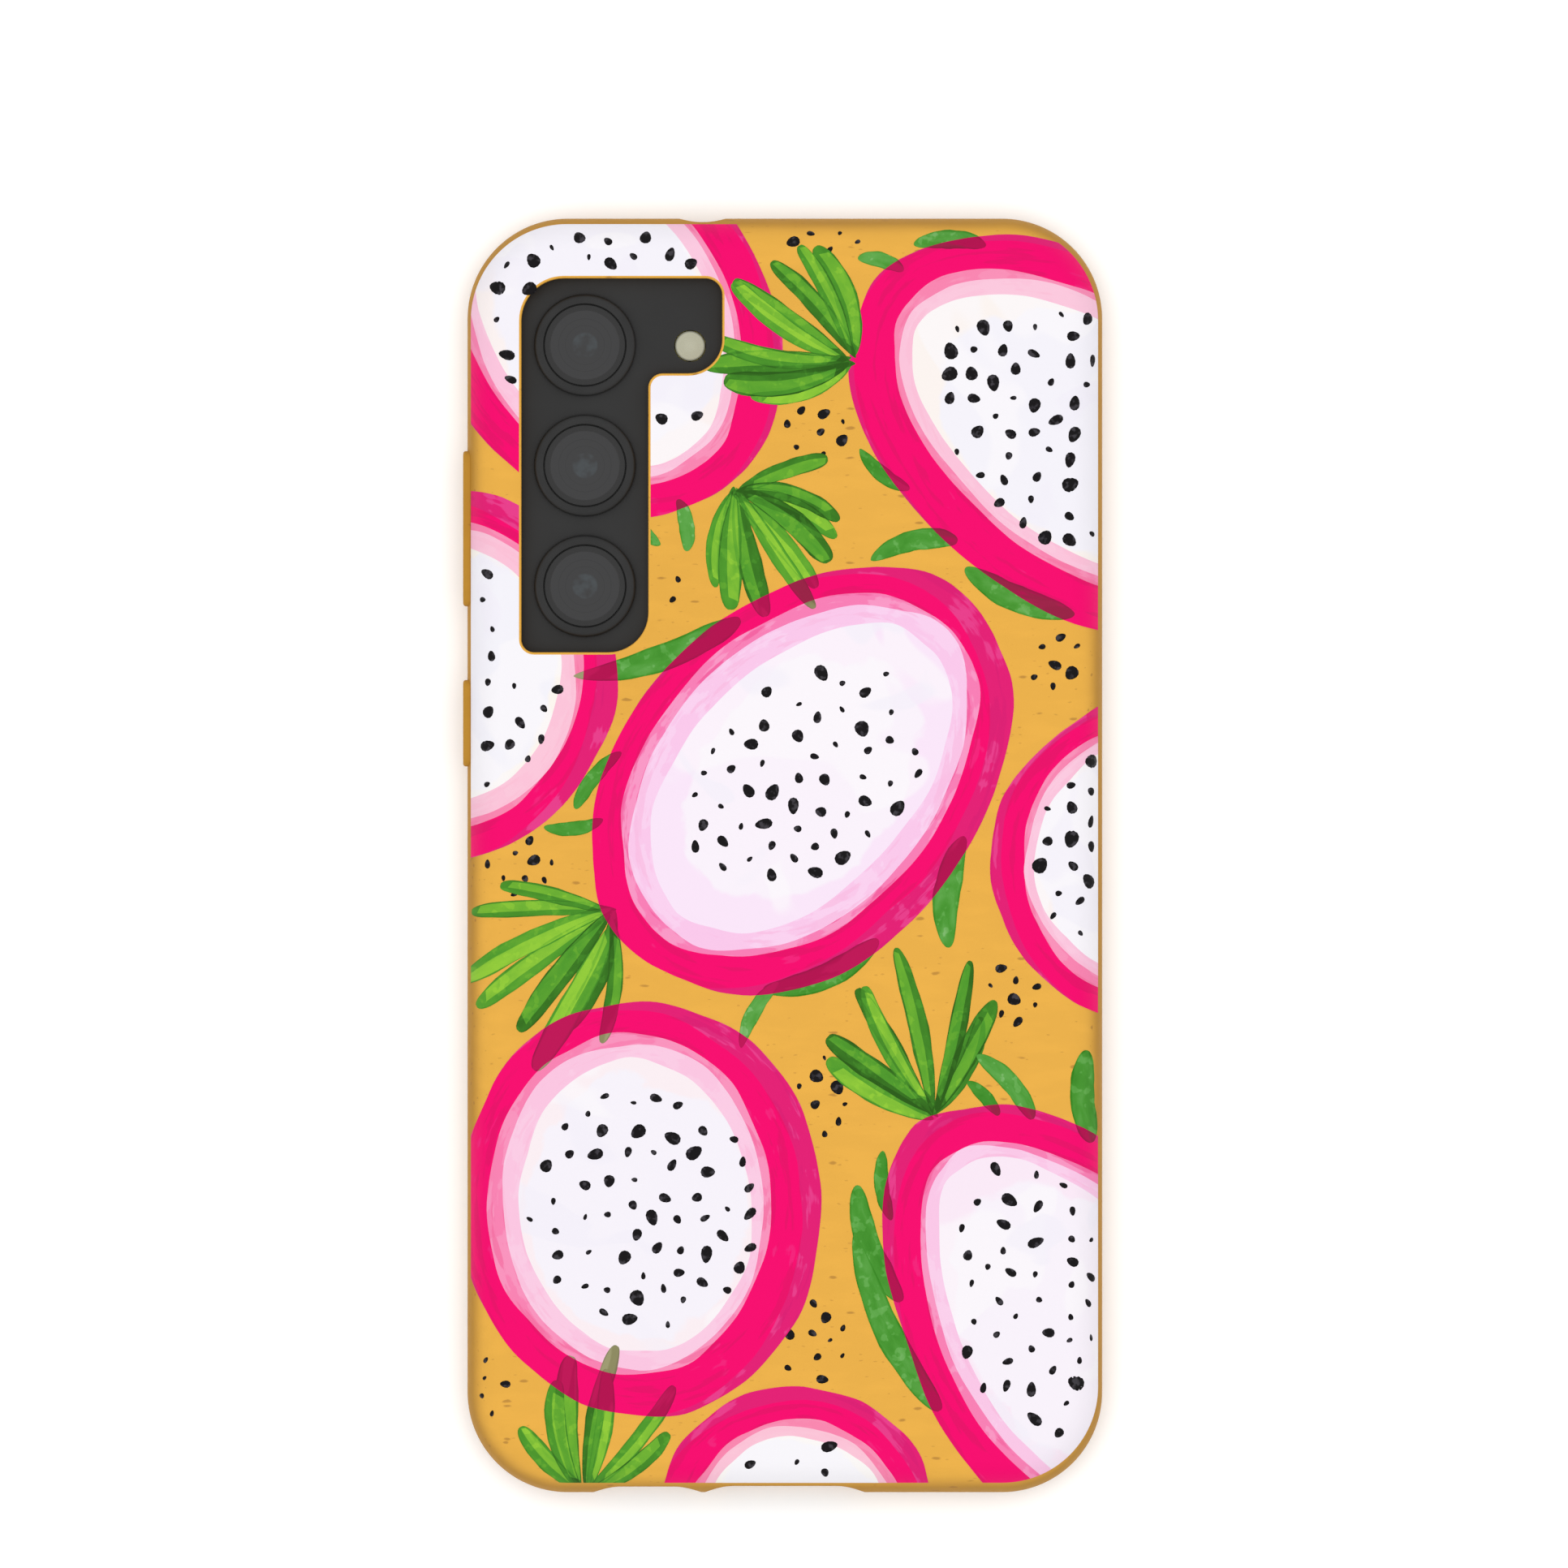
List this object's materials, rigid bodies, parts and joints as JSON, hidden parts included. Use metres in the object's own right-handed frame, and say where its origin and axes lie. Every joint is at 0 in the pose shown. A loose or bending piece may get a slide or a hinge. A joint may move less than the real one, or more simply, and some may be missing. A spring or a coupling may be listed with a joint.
{
  "type": "smartphone in a printed phone case",
  "caption": "Slim touchscreen phone with rear cameras in a moulded protective case printed with fruit slices, lying face down on the lip of the case.",
  "frame": {"origin": "centre of the case body in the plane of its front lip, on which the object lies", "axes": "+Z out of the printed back, +Y towards the end with the cameras, -X the side with the keys"},
  "size_m": [0.0755, 0.1502, 0.0108],
  "materials": {
    "battery_pouch": "wrapped pouch",
    "shield_can": "stamped tinned steel",
    "black_plastic": "black moulded plastic",
    "ochre_bioplastic": "satin, fine moulded grain, flax-flecked",
    "coil_copper": "enamelled copper wire",
    "dark_aluminium": "bead-blasted, dark anodised",
    "coil_shield": "dark magnetic sheet",
    "screw_steel": "zinc plated",
    "display": "unlit display stack",
    "sensor_black": "black sensor package",
    "flash_phosphor": "yellow phosphor",
    "flash_diffuser": "frosted diffuser",
    "lens_barrel": "black moulded barrel",
    "front_glass": "polished black-backed glass",
    "flex_strip": "amber film",
    "circuit_board": "solder mask",
    "lens_glass": "polished, dark tinted",
    "camera_ring": "turned, dark anodised",
    "matte_glass": "etched matte black glass",
    "socket_steel": "plated socket shell"
  },
  "bodies": {
    "phone_in_case": {"battery": "battery_pouch", "bottom_microphone": "shield_can", "bottom_speaker": "black_plastic", "case_shell": "ochre_bioplastic", "charging_coil": "coil_copper", "chassis": "dark_aluminium", "coil_shield": "coil_shield", "cover_screw_1": "screw_steel", "cover_screw_2": "screw_steel", "cover_screw_3": "screw_steel", "cover_screw_4": "screw_steel", "cover_screw_5": "screw_steel", "cover_screw_6": "screw_steel", "cover_screw_7": "screw_steel", "cover_screw_8": "screw_steel", "cover_screw_9": "screw_steel", "display_panel": "display", "earpiece": "black_plastic", "fingerprint_sensor": "sensor_black", "flash_led": "flash_phosphor", "flash_lens": "flash_diffuser", "front_camera": "lens_barrel", "front_glass": "front_glass", "key_switch_strip": "flex_strip", "light_sensor": "sensor_black", "lower_cover": "black_plastic", "main_board": "circuit_board", "main_camera_glass": "lens_glass", "main_camera_module": "lens_barrel", "main_camera_ring": "camera_ring", "main_flex": "flex_strip", "processor_shield": "shield_can", "radio_shield": "shield_can", "rear_glass": "matte_glass", "sim_reader": "shield_can", "sim_tray": "dark_aluminium", "sub_board": "circuit_board", "tele_camera_glass": "lens_glass", "tele_camera_module": "lens_barrel", "tele_camera_ring": "camera_ring", "top_microphone": "shield_can", "upper_cover": "black_plastic", "usb_socket": "socket_steel", "vibration_motor": "shield_can", "wide_camera_glass": "lens_glass", "wide_camera_module": "lens_barrel", "wide_camera_ring": "camera_ring"},
    "volume_key": {"volume_key": "dark_aluminium"},
    "power_key": {"power_key": "dark_aluminium"}
  },
  "joints": [
    {"name": "volume_key_press", "type": "slide", "parent": "phone_in_case", "child": "volume_key", "axis": [1, 0, 0], "range_m": [0, 0.00025], "stiffness_N_per_m": 600, "springref_m": -0.0005},
    {"name": "power_key_press", "type": "slide", "parent": "phone_in_case", "child": "power_key", "axis": [1, 0, 0], "range_m": [0, 0.00025], "stiffness_N_per_m": 600, "springref_m": -0.0005}
  ]
}
